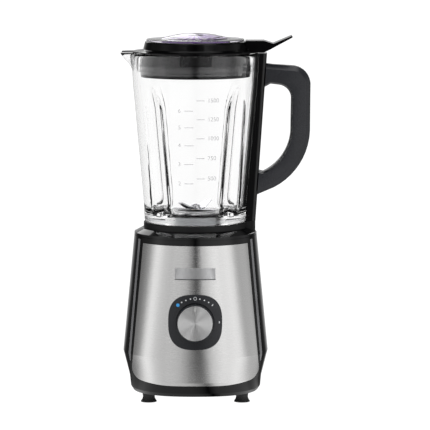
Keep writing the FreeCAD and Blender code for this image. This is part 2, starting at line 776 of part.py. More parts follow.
def glass_jug():
    outside = turned((0, GLASS_BOTTOM), *[(r, z) for z, r in GLASS_OUTSIDE], (0, GLASS_RIM))
    outside = outside.fuse(spout(0))
    outside = outside.cut(around(flute(0), 4, 45))
    wall = GLASS_WALL
    inside = turned(
        (0, GLASS_FLOOR),
        (46.0, GLASS_FLOOR),
        ((52.6, GLASS_FLOOR + 2.2), (glass_radius(226) - wall, 226.0)),
        (glass_radius(371.6) - wall, 371.6),
        (glass_radius(GLASS_RIM) - wall + 0.8, GLASS_RIM),
        (glass_radius(GLASS_RIM) - wall + 0.8, GLASS_RIM + 4),
        (0, GLASS_RIM + 4),
    )
    inside = inside.fuse(spout(3.4))
    inside = inside.cut(around(flute(wall), 4, 45))
    hole = disc(GLASS_HOLE_R, GLASS_BOTTOM - 1, GLASS_FLOOR + 2)
    return outside.cut(inside).cut(hole)


def glass_envelope(gap):
    """The glass as one solid cone, larger by a gap, for pieces that lie against it."""
    low = 150.0
    wall = [(r + gap, z) for z, r in GLASS_OUTSIDE[1:]]
    return turned((0, low), (wall[0][0], low), *wall, (0, GLASS_RIM))


def strap_face(z):
    """The strap's outer face, a straight line that leans out a little more than the glass."""
    return 70.6 + (84.0 - 70.6) * (z - STRAP_LOW) / (STRAP_HIGH - STRAP_LOW)


def handle_strap():
    """The upright that hugs the glass and carries the handle."""
    bar = slab(outline(
        (55.0, STRAP_LOW),
        (strap_face(STRAP_LOW), STRAP_LOW),
        (strap_face(STRAP_HIGH), STRAP_HIGH),
        (55.0, STRAP_HIGH),
    ), -STRAP_HALF, STRAP_HALF)
    outer = [e for e in bar.Edges if e.BoundBox.ZLength > 100 and e.BoundBox.XMin > 60]
    bar = bar.makeFillet(4.0, outer)
    bar = bar.cut(glass_envelope(CLEAR))
    holes = [handle_bore(z) for z in HANDLE_SCREW_Z]
    return bar.cut(holes)


def handle_bore(z):
    """A hole for a handle screw, from the glass side into the handle."""
    face = strap_face(z)
    return Part.makeCylinder(SCREW_R + 0.2, 30, Vector(face - 18, 0, z), Vector(1, 0, 0)).fuse(
        Part.makeCylinder(3.8, 14.0, Vector(face - 20, 0, z), Vector(1, 0, 0))
    )


def handle_screws():
    screws = []
    for z in HANDLE_SCREW_Z:
        face = strap_face(z)
        head = Part.makeCylinder(3.6, 2.0, Vector(face - 8.0, 0, z), Vector(1, 0, 0))
        shank = Part.makeCylinder(SCREW_R - 0.05, 18.0, Vector(face - 6.0, 0, z), Vector(1, 0, 0))
        screws.append(joined(head, shank))
    return group(screws)


def jug_handle():
    """The D of the handle, with two roots that butt against the strap."""
    loop = slab(outline(
        (strap_face(392.0), 392.0),
        (90.0, 391.0),
        (113.0, 389.4),
        ((129.2, 382.4), (135.0, 365.0)),
        (134.6, 313.0),
        ((121.6, 272.6), (92.5, 246.4)),
        (strap_face(238.0), 238.0),
        (strap_face(266.0), 266.0),
        (79.6, 265.0),
        ((102.8, 285.4), (111.6, 311.0)),
        (112.2, 350.0),
        ((108.4, 361.6), (98.0, 367.2)),
        (88.0, 368.4),
        (strap_face(364.6), 364.6),
    ), -HANDLE_HALF, HANDLE_HALF)
    long_edges = [
        e for e in loop.Edges
        if e.BoundBox.YLength < 0.01
        and e.BoundBox.XMin > strap_face(e.BoundBox.ZMin) - 1.0
        and e.BoundBox.XMax > strap_face(e.BoundBox.ZMax) + 2.0
    ]
    loop = loop.makeFillet(5.0, long_edges)
    starts = [Vector(strap_face(z) - 1, 0, z) for z in HANDLE_SCREW_Z]
    return loop.cut([Part.makeCylinder(SCREW_R, 14.0, start, Vector(1, 0, 0)) for start in starts])


def jug_seal():
    """The pale gasket round the blade carrier: a sleeve in the glass's hole, and a flange below it."""
    low = COLLAR_TOP - 0.9
    return turned(
        (SEAL_SLEEVE_R, low),
        (34.0, low),
        (34.0, GLASS_BOTTOM - 0.02),
        (GLASS_HOLE_R - 0.05, GLASS_BOTTOM - 0.02),
        (GLASS_HOLE_R - 0.05, GLASS_FLOOR + 0.6),
        (SEAL_SLEEVE_R, GLASS_FLOOR + 0.6),
    )


def blade_carrier():
    """The screw-in disc that closes the jug's bottom and holds the blades' bearing."""
    carrier = turned(
        (5.6, 203.0),
        (16.0, 203.0),
        (16.0, 200.0),
        (35.4, 200.0),
        (35.4, 204.5),
        (SEAL_SLEEVE_R - 0.05, 204.5),
        (SEAL_SLEEVE_R - 0.05, GLASS_FLOOR + 0.6),
        (18.0, GLASS_FLOOR + 1.4),
        (9.5, GLASS_FLOOR + 1.4),
        (8.0, BLADE_Z - 1.6),
        (5.6, BLADE_Z - 1.6),
    )
    grip = box(19.0, 33.0, -1.2, 1.2, 198.4, 200.5)
    return joined(carrier, *around(grip, 6))


def blade_bearing():
    return ring(BLADE_SHAFT_R + FIT, 5.55, 203.2, BLADE_Z - 1.7)


def blade_shaft():
    low, high = COUPLER_TOP + 0.6, BLADE_Z + 5.0
    return turned((0, low), (BLADE_SHAFT_R, low), (BLADE_SHAFT_R, high), (0, high))


def blade(inner, outer, width_root, width_tip, rise, z):
    """A two-winged blade with bent wings. Positive rise bends them up."""
    flat = joined(box(-inner, inner, -width_root, width_root, z, z + 1.5), disc(7.5, z, z + 1.5))
    length = outer - inner
    wing = Part.Face(Part.makePolygon([
        Vector(-0.5, -width_root, 0),
        Vector(length, -width_tip + 1.5, 0),
        Vector(length + 1.0, width_tip, 0),
        Vector(length * 0.5, width_root, 0),
        Vector(-0.5, width_root, 0),
        Vector(-0.5, -width_root, 0),
    ])).extrude(Vector(0, 0, 1.5))
    wing.rotate(Vector(0, 0, 0), Vector(0, 1, 0), -rise)
    wing = wing.translated(Vector(inner, 0, z))
    plate = joined(flat, wing, about_z(wing, 180))
    return plate.cut(disc(BLADE_SHAFT_R, 0, 2 * REACH))


def lower_blade():
    return about_z(blade(10.0, 30.0, 6.0, 3.5, -3.0, BLADE_Z), -38)


def upper_blade():
    return about_z(blade(9.0, 29.0, 6.5, 4.0, 27.0, BLADE_Z + 1.5), 48)


def blade_nut():
    """The domed nut that clamps both blades to their shaft."""
    low, shaft_end = BLADE_Z + 3.0, BLADE_Z + 5.0
    return turned(
        (BLADE_SHAFT_R, low),
        (6.0, low),
        (6.0, shaft_end),
        ((4.8, low + 4.4), (2.0, low + 5.4)),
        (0, low + 5.4),
        (0, shaft_end),
        (BLADE_SHAFT_R, shaft_end),
    )


def driven_coupler():
    """The cup under the jug that fits over the drive coupler."""
    cup = turned((0, 194.4), (12.4, 194.4), (13.0, 195.0), (13.0, 202.6), (0, 202.6))
    socket = joined(
        disc(6.2 + CLEAR, 190, COUPLER_TOP + CLEAR),
        *around(box(4.0, 8.4 + CLEAR, -1.9 - CLEAR, 1.9 + CLEAR, 190, COUPLER_TOP + CLEAR), 6),
    )
    return cup.cut([socket, disc(BLADE_SHAFT_R, 190, 2 * REACH)])


# ---- the lid ----


def lid_body():
    """The lid's one moulding: flange, raised ring, skirt, filler tube, spout cover and thumb tab."""
    low = LID_FLANGE_BOTTOM
    cover = turned(
        (LID_HOLE_R, LID_TUBE_LOW),
        (LID_HOLE_R, LID_TOP),
        (57.2, LID_TOP),
        ((58.7, 417.6), (59.4, 416.2)),
        (61.0, 410.0),
        ((61.6, 408.6), (63.2, 408.0)),
        (LID_FLANGE_R, low + 1.3),
        (LID_FLANGE_R, low),
        (SKIRT_R, low),
        (SKIRT_R, SKIRT_LOW),
        (SKIRT_R - 2.4, SKIRT_LOW),
        (SKIRT_R - 2.4, 404.0),
        (58.6, 407.6),
        (57.0, 415.7),
        (LID_HOLE_R + 2.4, 415.7),
        (LID_HOLE_R + 2.4, LID_TUBE_LOW),
    )
    spout_cover = disc(13.6, low, low + 1.3, -72.7).cut(disc(60.0, 0, 3 * REACH))
    tab = slab(outline(
        (58.8, 411.0),
        (58.8, 419.0),
        (80.5, 419.0),
        (91.5, 415.6),
        (111.8, 424.2),
        ((113.4, 424.3), (113.2, 422.6)),
        (86.0, 408.0),
        (80.0, 405.2),
        (70.0, 405.4),
        (62.5, 408.3),
    ), -TAB_HALF, TAB_HALF)
    window = box(-17.2, 18.6, -REACH, 0, 0, 3 * REACH)
    recess = ring(SKIRT_R - 1.2, SKIRT_R + 1, 391.5, low - 0.8).common(window)
    return joined(cover, spout_cover, tab).cut(recess)


def lid_seal():
    """The silicone band round the skirt, with two lips that wipe the glass."""
    low, high = SEAL_LIPS
    return turned(
        (SKIRT_R, low - 3.2),
        (SKIRT_R + 0.9, low - 3.2),
        (SKIRT_R + 0.9, low - 0.8),
        (68.2, low + 0.4),
        (68.2, low + 1.1),
        (SKIRT_R + 0.9, low + 0.8),
        (SKIRT_R + 0.9, high - 0.8),
        (68.6, high + 0.4),
        (68.6, high + 1.1),
        (SKIRT_R + 0.9, high + 0.8),
        (SKIRT_R + 0.9, high + 1.6),
        (SKIRT_R, high + 1.6),
    )


def filler_cap():
    """The clear cap: a wide flange, a low dome and a cup that fills the filler hole."""
    cap = turned(
        (0, CAP_TOP),
        (4.0, CAP_TOP),
        ((23.0, CAP_TOP - 1.8), (42.0, CAP_LOW + 2.5)),
        (56.4, CAP_LOW + 2.2),
        ((57.2, CAP_LOW + 1.8), (CAP_FLANGE_R, CAP_LOW + 1.2)),
        (CAP_FLANGE_R, CAP_LOW),
        (CAP_SKIRT_R, CAP_LOW),
        (CAP_SKIRT_R, 396.0),
        (CAP_SKIRT_R - 2.2, 396.0),
        (CAP_SKIRT_R - 2.2, CAP_LOW),
        ((17.0, CAP_TOP - 3.7), (4.0, CAP_TOP - 2.6)),
        (0, CAP_TOP - 2.6),
    )
    inner, outer = CAP_SEAL
    return cap.cut(ring(inner, outer, CAP_LOW - 1, CAP_LOW + 1.0))


def cap_seal():
    inner, outer = CAP_SEAL
    return ring(inner + 0.1, outer - 0.1, CAP_LOW, CAP_LOW + 0.95)


PIECES = (
    base_housing, front_panel, side_trims, nameplate, bottom_cover, base_feet, base_screws, cord_gland,
    top_cover, plunger_guide, interlock_plunger, interlock_spring, micro_switch,
    dial_bezel, dial_marks, indicator_light, knob_body, knob_face, knob_pointer, switch_shaft,
    rotary_switch, control_board, board_parts, board_pillars,
    stator_core, field_coils, motor_low_bracket, motor_high_bracket, lower_bearing, upper_bearing,
    motor_tie_screws, motor_grommets, motor_screws, brush_holders, carbon_brushes, brush_springs,
    motor_shaft, armature_core, armature_windings, commutator, cooling_fan, drive_coupler,
    glass_jug, jug_collar, jug_seal, handle_strap, jug_handle, handle_screws,
    blade_carrier, blade_bearing, blade_shaft, lower_blade, upper_blade, blade_nut, driven_coupler,
    lid_body, lid_seal, filler_cap, cap_seal,
)


def save():
    """Writes every piece to a STEP file of its own name, moved to its place."""
    os.makedirs("parts", exist_ok=True)
    for piece in PIECES:
        shape = piece()
        name = piece.__name__
        placed = shape.copy()
        placed.translate(Vector(AXIS_X, AXIS_Y, -FLOOR))
        placed.exportStep(f"parts/{name}.step")
        print(f"{name}: {len(placed.Solids)} solid(s), {placed.Volume:.0f} mm3, valid {placed.isValid()}")


save()
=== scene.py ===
"""Looks of the countertop blender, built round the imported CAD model. Metres, same frame."""

import json
import math

import bmesh
import bpy
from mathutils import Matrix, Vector


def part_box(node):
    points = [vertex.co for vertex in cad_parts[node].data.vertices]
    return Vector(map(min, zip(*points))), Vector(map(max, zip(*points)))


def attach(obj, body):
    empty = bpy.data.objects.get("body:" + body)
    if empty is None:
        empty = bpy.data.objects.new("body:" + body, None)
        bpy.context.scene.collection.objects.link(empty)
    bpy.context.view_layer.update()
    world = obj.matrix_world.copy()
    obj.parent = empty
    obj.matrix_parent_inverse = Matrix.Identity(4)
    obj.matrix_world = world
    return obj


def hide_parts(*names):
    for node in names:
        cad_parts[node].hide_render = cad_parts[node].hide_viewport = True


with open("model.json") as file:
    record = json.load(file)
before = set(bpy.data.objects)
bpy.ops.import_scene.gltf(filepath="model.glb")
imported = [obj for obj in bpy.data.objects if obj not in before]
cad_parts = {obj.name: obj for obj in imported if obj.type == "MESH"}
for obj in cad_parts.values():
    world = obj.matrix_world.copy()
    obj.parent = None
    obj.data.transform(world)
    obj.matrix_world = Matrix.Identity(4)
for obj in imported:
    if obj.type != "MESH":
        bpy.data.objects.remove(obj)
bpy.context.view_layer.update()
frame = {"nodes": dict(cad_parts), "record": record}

MM = 0.001
SHAFT_TOP = 196.0  # the motor shaft's top, in the millimetres of height used here
NODES = frame["nodes"]
SHAFT_LOW, SHAFT_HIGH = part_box("motor_shaft")
AXIS_X = (SHAFT_LOW.x + SHAFT_HIGH.x) / 2
AXIS_Y = (SHAFT_LOW.y + SHAFT_HIGH.y) / 2
LIFT = SHAFT_HIGH.z - SHAFT_TOP * MM  # from the floor up to the zero of those heights


def place(x, y, z):
    """A point given in millimetres about the motor's axis."""
    return Vector((x * MM + AXIS_X, y * MM + AXIS_Y, z * MM + LIFT))


# ---- materials ----


def new_material(name):
    material = bpy.data.materials.new(name)
    material.use_nodes = True
    tree = material.node_tree
    return material, tree, tree.nodes["Principled BSDF"]


def add(tree, kind, **values):
    """A node with its inputs set by name."""
    node = tree.nodes.new(kind)
    for key, value in values.items():
        node.inputs[key].default_value = value
    return node


def coordinates(tree, scale=(1, 1, 1)):
    source = tree.nodes.new("ShaderNodeTexCoord")
    mapping = add(tree, "ShaderNodeMapping", Scale=scale)
    tree.links.new(source.outputs["Object"], mapping.inputs["Vector"])
    return mapping.outputs["Vector"]


def noise(tree, scale, detail=3.0, stretch=(1, 1, 1)):
    node = add(tree, "ShaderNodeTexNoise", Scale=scale, Detail=detail)
    tree.links.new(coordinates(tree, stretch), node.inputs["Vector"])
    return node.outputs["Fac"]


NOISE_LOW, NOISE_HIGH = 0.35, 0.65  # nearly all of a noise lies between these


def ramp(tree, source, low, high, start=NOISE_LOW, end=NOISE_HIGH):
    """Turns a grey value into a number between low and high."""
    limits = {"From Min": start, "From Max": end, "To Min": low, "To Max": high}
    node = add(tree, "ShaderNodeMapRange", **limits)
    tree.links.new(source, node.inputs["Value"])
    return node.outputs["Result"]


def two_colours(tree, source, first, second):
    node = tree.nodes.new("ShaderNodeValToRGB")
    for element, position, colour in zip(node.color_ramp.elements, (NOISE_LOW, NOISE_HIGH), (first, second)):
        element.position = position
        element.color = (*colour, 1)
    tree.links.new(source, node.inputs["Fac"])
    return node.outputs["Color"]


def calculated(tree, operation, first, second):
    """The result of a sum on two values, each of them a socket or a number."""
    node = tree.nodes.new("ShaderNodeMath")
    node.operation = operation
    for socket, value in zip(node.inputs, (first, second)):
        if isinstance(value, (int, float)):
            socket.default_value = value
        else:
            tree.links.new(value, socket)
    return node.outputs["Value"]


CLOUD_SCALE = 35.0
GLOSS_VARY = 0.12
COAT_ROUGH = 0.08


def bump(tree, shader, source, strength, distance):
    node = add(tree, "ShaderNodeBump", Strength=strength, Distance=distance)
    tree.links.new(source, node.inputs["Height"])
    tree.links.new(node.outputs["Normal"], shader.inputs["Normal"])


def set_more(shader, more):
    for key, value in more.items():
        shader.inputs[key.replace("_", " ")].default_value = value


def plain(
    name, colour, rough, metal=0.0, vary=0.12, grain=900.0, depth=0.0, coat=0.0, stretch=(1, 1, 1), **more
):
    """A moulded or machined finish: its colour and gloss vary a little, and its grain is a fine bump."""
    material, tree, shader = new_material(name)
    cloud = noise(tree, CLOUD_SCALE, 4.0)
    darker = tuple(c * (1 - vary) for c in colour)
    lighter = tuple(min(1.0, c * (1 + vary)) for c in colour)
    tree.links.new(two_colours(tree, cloud, darker, lighter), shader.inputs["Base Color"])
    fine = noise(tree, grain, 2.0, stretch)
    smoother, rougher = rough * (1 - GLOSS_VARY), min(1.0, rough * (1 + GLOSS_VARY))
    tree.links.new(ramp(tree, fine, smoother, rougher), shader.inputs["Roughness"])
    shader.inputs["Metallic"].default_value = metal
    shader.inputs["Coat Weight"].default_value = coat
    shader.inputs["Coat Roughness"].default_value = COAT_ROUGH
    set_more(shader, more)
    if depth:
        bump(tree, shader, fine, 0.35, depth)
    return material


def brushed(name, colour, rough, anisotropy, line_scale, depth, axis="Z"):
    """Metal brushed in rings round an axis: fine lines, and reflections drawn out across them."""
    material, tree, shader = new_material(name)
    stretch = (0.02, 0.02, 1.0) if axis == "Z" else (1.0, 1.0, 1.0)
    lines = noise(tree, line_scale, 3.0, stretch)
    dark = tuple(c * 0.98 for c in colour)
    light = tuple(min(1.0, c * 1.02) for c in colour)
    tree.links.new(two_colours(tree, lines, dark, light), shader.inputs["Base Color"])
    tree.links.new(ramp(tree, lines, rough * 0.9, rough * 1.1), shader.inputs["Roughness"])
    shader.inputs["Metallic"].default_value = 1.0
    shader.inputs["Anisotropic"].default_value = anisotropy
    shader.inputs["Anisotropic Rotation"].default_value = 0.25
    tangent = tree.nodes.new("ShaderNodeTangent")
    tangent.direction_type = "RADIAL"
    tangent.axis = axis
    tree.links.new(tangent.outputs["Tangent"], shader.inputs["Tangent"])
    bump(tree, shader, lines, 0.25, depth)
    return material


def clear(name, colour, rough, ior, cloud_scale=60.0, wave=0.0, **more):
    """Glass or clear plastic, with a faint unevenness."""
    material, tree, shader = new_material(name)
    source = noise(tree, cloud_scale, 2.0)
    tint = tuple(c * 0.985 for c in colour)
    tree.links.new(two_colours(tree, source, tint, colour), shader.inputs["Base Color"])
    tree.links.new(ramp(tree, source, rough, rough + 0.01), shader.inputs["Roughness"])
    shader.inputs["IOR"].default_value = ior
    shader.inputs["Transmission Weight"].default_value = 1.0
    set_more(shader, more)
    if wave:
        bump(tree, shader, source, 0.5, wave)
    return material


def glowing(name, colour, strength, rough=0.3):
    material = plain(name, colour, rough, vary=0.05)
    shader = material.node_tree.nodes["Principled BSDF"]
    shader.inputs["Emission Color"].default_value = (*colour, 1)
    shader.inputs["Emission Strength"].default_value = strength
    return material


MATERIALS = {
    "gloss_black": plain("gloss_black", (0.003, 0.003, 0.0034), 0.09, grain=300.0, Specular_IOR_Level=0.4),
    "lid_gloss": plain(
        "lid_gloss", (0.002, 0.002, 0.0023), 0.12, grain=300.0, Specular_IOR_Level=0.18
    ),
    "satin_black": plain(
        "satin_black", (0.028, 0.029, 0.034), 0.28, grain=1800.0, depth=0.00002, Specular_IOR_Level=0.4
    ),
    "matte_black": plain(
        "matte_black", (0.008, 0.008, 0.0085), 0.5, grain=2500.0, depth=0.00004, Specular_IOR_Level=0.3
    ),
    "brushed_steel": brushed("brushed_steel", (0.80, 0.795, 0.79), 0.25, 0.97, 2600.0, 0.000002),
    "satin_trim": plain("satin_trim", (0.34, 0.34, 0.35), 0.4, 0.35, grain=1500.0, Specular_IOR_Level=0.5),
    "badge_metal": brushed("badge_metal", (0.86, 0.86, 0.87), 0.52, 0.97, 2600.0, 0.000002),
    "black_rubber": plain("black_rubber", (0.016, 0.016, 0.016), 0.7, grain=1500.0, depth=0.00005),
    "screw_steel": plain("screw_steel", (0.55, 0.55, 0.56), 0.3, 1.0, grain=1200.0, depth=0.00001),
    "spring_steel": plain("spring_steel", (0.5, 0.5, 0.52), 0.25, 1.0, grain=1200.0),
    "bearing_steel": plain("bearing_steel", (0.62, 0.62, 0.64), 0.18, 1.0, grain=900.0),
    "switch_plastic": plain("switch_plastic", (0.03, 0.03, 0.034), 0.45, grain=1600.0, depth=0.00002),
    # Painted light: the printed marks glow faintly, though they hold no lamp
    "mark_print": glowing("mark_print", (0.75, 0.77, 0.78), 0.2),
    "blue_lens": glowing("blue_lens", (0.03, 0.22, 0.50), 0.75),
    "board_green": plain("board_green", (0.02, 0.12, 0.05), 0.35, grain=400.0, depth=0.00003, vary=0.25),
    "lamination_steel": plain(
        "lamination_steel", (0.30, 0.30, 0.31), 0.4, 0.9, grain=900.0, depth=0.00008, stretch=(0.01, 0.01, 1)
    ),
    "copper_winding": plain(
        "copper_winding", (0.55, 0.23, 0.10), 0.35, 0.9,
        grain=700.0, depth=0.0001, stretch=(1, 1, 0.05), vary=0.25,
    ),
    "commutator_copper": plain(
        "commutator_copper", (0.70, 0.33, 0.18), 0.25, 1.0, grain=900.0, depth=0.00001
    ),
    "cast_aluminium": plain("cast_aluminium", (0.55, 0.55, 0.56), 0.5, 0.9, grain=800.0, depth=0.00005),
    "brass": plain("brass", (0.70, 0.50, 0.20), 0.28, 1.0, grain=900.0),
    "carbon": plain("carbon", (0.02, 0.02, 0.02), 0.65, grain=1500.0, depth=0.00003),
    "coupler_rubber": plain("coupler_rubber", (0.02, 0.02, 0.02), 0.5, grain=1500.0, depth=0.00004),
    "spun_aluminium": brushed("spun_aluminium", (0.97, 0.97, 0.97), 0.5, 1.0, 1500.0, 0.000001, "Y"),
    "pointer_white": plain("pointer_white", (0.75, 0.75, 0.74), 0.4, vary=0.03),
    "jug_glass": clear(
        "jug_glass", (0.99, 0.99, 0.99), 0.0, 1.45, 25.0, 0.000004, Specular_Tint=(0.35, 0.35, 0.36, 1.0)
    ),
    "foot_glass": clear("foot_glass", (0.93, 0.94, 0.95), 0.32, 1.45, 25.0),
    "seal_silicone": plain(
        "seal_silicone", (0.93, 0.94, 0.96), 0.4, vary=0.04, grain=1200.0, coat=0.5
    ),
    "seal_silicone_black": plain(
        "seal_silicone_black", (0.02, 0.02, 0.022), 0.16, grain=1200.0, coat=1.0, Specular_IOR_Level=0.8
    ),
    # Painted shade: a duller black for the sheet in the lid's front recess
    "recess_shade_black": plain(
        "recess_shade_black", (0.003, 0.003, 0.0035), 0.3, grain=400.0, Specular_IOR_Level=0.25
    ),
    "skirt_gloss": plain(
        "skirt_gloss", (0.008, 0.008, 0.009), 0.12, grain=400.0, coat=0.4, Specular_IOR_Level=0.55
    ),
    "cap_lilac": plain("cap_lilac", (0.50, 0.36, 0.66), 0.35, grain=1200.0),
    "cap_pale": plain("cap_pale", (0.86, 0.84, 0.90), 0.35, vary=0.04, grain=1200.0),
    "blade_steel": plain(
        "blade_steel", (0.70, 0.70, 0.72), 0.2, 1.0, grain=900.0, depth=0.00001, stretch=(1, 0.05, 1)
    ),
    "cap_plastic": clear("cap_plastic", (0.93, 0.89, 0.97), 0.0, 1.46, 40.0),
    "cap_silicone": plain("cap_silicone", (0.30, 0.12, 0.55), 0.35, grain=1200.0),
    "scale_print": plain("scale_print", (0.55, 0.55, 0.57), 0.5, vary=0.05, Alpha=0.45),
}

SLOT_OF = {row["node"]: row["material_slot"] for row in frame["record"]["subparts"]}

for node_name, node in NODES.items():
    node.data.materials.clear()
    finish = "lid_gloss" if node_name == "lid_body" else SLOT_OF[node_name]
    node.data.materials.append(MATERIALS[finish])


# ---- pieces ----


def piece(name, vertices, faces, slot, body, replaced=(), smooth=True, material=None):
    """A mesh in the local millimetres that rides on a body. Its finish is its slot's, unless one is named."""
    mesh = bpy.data.meshes.new(name)
    mesh.from_pydata([place(*v) for v in vertices], [], faces)
    mesh.materials.append(MATERIALS[material or slot])
    mesh.polygons.foreach_set("use_smooth", [smooth] * len(mesh.polygons))
    tidy = bmesh.new()
    tidy.from_mesh(mesh)
    bmesh.ops.recalc_face_normals(tidy, faces=tidy.faces)
    tidy.to_mesh(mesh)
    tidy.free()
    obj = bpy.data.objects.new(name, mesh)
    bpy.context.scene.collection.objects.link(obj)
    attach(obj, body)
    if replaced:
        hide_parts(*replaced)
    return obj


def sharpened(obj, degrees=30.0):
    """Smooth faces with crisp edges between the ones that meet at an angle."""
    obj.data.set_sharp_from_angle(angle=math.radians(degrees))


def rows_to_mesh(rows, closed_rows=True):
    """Quads between rings of equal length. closed_rows joins the last ring to the first."""
    count = len(rows[0])
    vertices = [p for row in rows for p in row]
    faces = []
    steps = len(rows) if closed_rows else len(rows) - 1
    for i in range(steps):
        a, b = i * count, (i + 1) % len(rows) * count
        for j in range(count):
            k = (j + 1) % count
            faces.append((a + j, a + k, b + k, b + j))
    return vertices, faces


def soft_min(a, b, width):
    h = max(0.0, min(1.0, 0.5 + 0.5 * (b - a) / width))
    return b * (1 - h) + a * h - width * h * (1 - h)


def between(table, z):
    """A value read off a table of (height, value) rows."""
    for (z0, v0), (z1, v1) in zip(table, table[1:]):
        if z <= z1:
            share = max(0.0, (z - z0) / (z1 - z0))
            return v0 + (v1 - v0) * share
    return table[-1][1]


# ---- the glass ----

GLASS_OUTSIDE = ((206.0, 58.2), (208.5, 60.0), (232.6, 61.2), (371.6, 73.6), (404.8, 75.2))
GLASS_BOTTOM, GLASS_FLOOR, GLASS_RIM = 206.0, 214.5, 404.8
GLASS_WALL = 5.0
FOOT_TOP = 213.0
HOLE_R, HOLE_EDGE = 24.6, 0.6
FLOOR_CURVE_TOP, FLOOR_CURVE_REACH, FLOOR_R = 226.0, 9.6, 46.0  # where the wall curves into the floor
FLUTE_R = 20.0
FLUTE_PATH = ((233.0, 7.5), (342.0, 5.0), (370.0, 0.0))  # height, and how deep a flute cuts in
FLUTE_BLEND_OUT, FLUTE_BLEND_IN = 1.2, 3.2
# Height, how far out the beak's middle stands, and its radius
SPOUT = ((380.0, 64.0, 7.0), (390.0, 66.5, 10.0), (398.0, 70.5, 13.5), (404.8, 73.0, 16.0))
SPOUT_BLEND, SPOUT_THINNING = 2.0, 0.68
# The rolled lip: how far below the rim, and how far in from the outside
LIP = ((1.6, 0.1), (0.9, 0.6), (0.3, 1.4), (0.0, 2.4), (0.3, 3.6), (0.9, 4.2), (1.6, 4.6))
AROUND = 288
ROW_STEP = 2.4


def glass_radius(z):
    return between(GLASS_OUTSIDE, z)


def flute_reach(turn, z, grow):
    """How far out the wall may stand at a turn from a flute's middle, or None beside it."""
    low, high = FLUTE_PATH[0][0], FLUTE_PATH[-1][0]
    radius = FLUTE_R + grow
    if z > high or low - z >= radius:
        return None
    centre = between([(h, glass_radius(h) - deep + FLUTE_R) for h, deep in FLUTE_PATH], max(z, low))
    radius = math.sqrt(radius ** 2 - max(0.0, low - z) ** 2)
    across = centre * math.sin(turn)
    if abs(across) >= radius:
        return None
    return centre * math.cos(turn) - math.sqrt(radius ** 2 - across ** 2)


def spout_reach(turn, z, shrink):
    """How far out the beak stands at a turn from its middle, or None beside it."""
    if z < SPOUT[0][0]:
        return None
    centre = between([(row[0], row[1]) for row in SPOUT], z)
    radius = between([(row[0], row[2]) for row in SPOUT], z) - shrink
    across = centre * math.sin(turn)
    if abs(across) >= radius or math.cos(turn) < 0:
        return None
    return centre * math.cos(turn) + math.sqrt(radius ** 2 - across ** 2)


def wall_reach(angle, z, inset):
    """The wall's distance from the axis: outside with inset 0, inside with the wall's thickness."""
    base = glass_radius(z) - inset
    reach = base
    quarter = math.pi / 2
    turn = angle % quarter - quarter / 2
    flute = flute_reach(turn, z, inset)
    if flute is not None:
        reach = soft_min(base, flute, FLUTE_BLEND_OUT if inset == 0 else FLUTE_BLEND_IN)
    beak = spout_reach(angle - math.pi, z, inset * SPOUT_THINNING)
    if beak is not None:
        reach = -soft_min(-reach, -beak, SPOUT_BLEND)
    return reach


def glass_rows():
    """Rings of points: out along the underside, up the outside, over the lip, and down the inside."""
    rows = []
    angles = [2 * math.pi * i / AROUND for i in range(AROUND)]

    def ring_row(reach_at, z):
        rows.append([(math.cos(a) * reach_at(a), math.sin(a) * reach_at(a), z) for a in angles])

    for r in (HOLE_R, HOLE_R + 0.3, 54.0, 57.4):
        ring_row(lambda a, r=r: r, GLASS_BOTTOM)
    heights = [206.3, 207.2, 208.5, 209.5]
    heights += [212.0 + ROW_STEP * i for i in range(80)]
    heights = [z for z in heights if z < GLASS_RIM - 2.0]
    for z in heights:
        ring_row(lambda a, z=z: wall_reach(a, z, 0.0), z)
    for drop, inset in LIP:
        ring_row(lambda a, d=drop, i=inset: wall_reach(a, GLASS_RIM - d, i), GLASS_RIM - drop)
    for z in reversed([z for z in heights if z > FLOOR_CURVE_TOP]):
        ring_row(lambda a, z=z: wall_reach(a, z, GLASS_WALL), z)
    for share in (0.25, 0.5, 0.75, 0.9):
        turn = share * math.pi / 2
        z = FLOOR_CURVE_TOP - (FLOOR_CURVE_TOP - GLASS_FLOOR) * math.sin(turn)
        pull = FLOOR_CURVE_REACH * (1 - math.cos(turn))
        ring_row(lambda a, p=pull: wall_reach(a, FLOOR_CURVE_TOP, GLASS_WALL) - p, z)
    ring_row(lambda a: FLOOR_R, GLASS_FLOOR)
    ring_row(lambda a: HOLE_R + HOLE_EDGE, GLASS_FLOOR)
    ring_row(lambda a: HOLE_R, GLASS_FLOOR - HOLE_EDGE)
    ring_row(lambda a: HOLE_R, GLASS_BOTTOM + HOLE_EDGE)
    return rows


glass_bowl = piece("glass_bowl", *rows_to_mesh(glass_rows()), "jug_glass", "jug", ("glass_jug",))
sharpened(glass_bowl, 40.0)
# The thick foot is moulded with a stipple outside, which blurs what shows through it
glass_bowl.data.materials.append(MATERIALS["foot_glass"])
for polygon in glass_bowl.data.polygons:
    if polygon.center.z < place(0, 0, FOOT_TOP).z and abs(polygon.normal.z) < 0.5:
        polygon.material_index = 1


# ---- the jug's printed scale ----

PRINT_OUT = 0.06  # how far the print stands off the glass
PRINT_THICK = 0.05
STROKE = 0.7


def on_glass(x, z, out):
    """A point of a flat drawing wrapped round the front of the glass."""
    radius = glass_radius(z) + out
    turn = x / radius
    return (radius * math.sin(turn), -radius * math.cos(turn), z)


def bar_between(stations):
    """A bar through four-cornered stations, closed at both ends."""
    vertices = [corner for station in stations for corner in station]
    faces = []
    for i in range(len(stations) - 1):
        for j in range(4):
            a, b = i * 4 + j, i * 4 + (j + 1) % 4
            faces.append((a, b, b + 4, a + 4))
    last = len(vertices) - 4
    faces += [(3, 2, 1, 0), (last, last + 1, last + 2, last + 3)]
    return vertices, faces


def wrapped_bar(x0, x1, z, steps=8):
    """A thin printed line that follows the glass."""
    corners = ((-STROKE / 2, 0), (STROKE / 2, 0), (STROKE / 2, PRINT_THICK), (-STROKE / 2, PRINT_THICK))
    return bar_between([
        [on_glass(x0 + (x1 - x0) * i / steps, z + rise, PRINT_OUT + out) for rise, out in corners]
        for i in range(steps + 1)
    ])


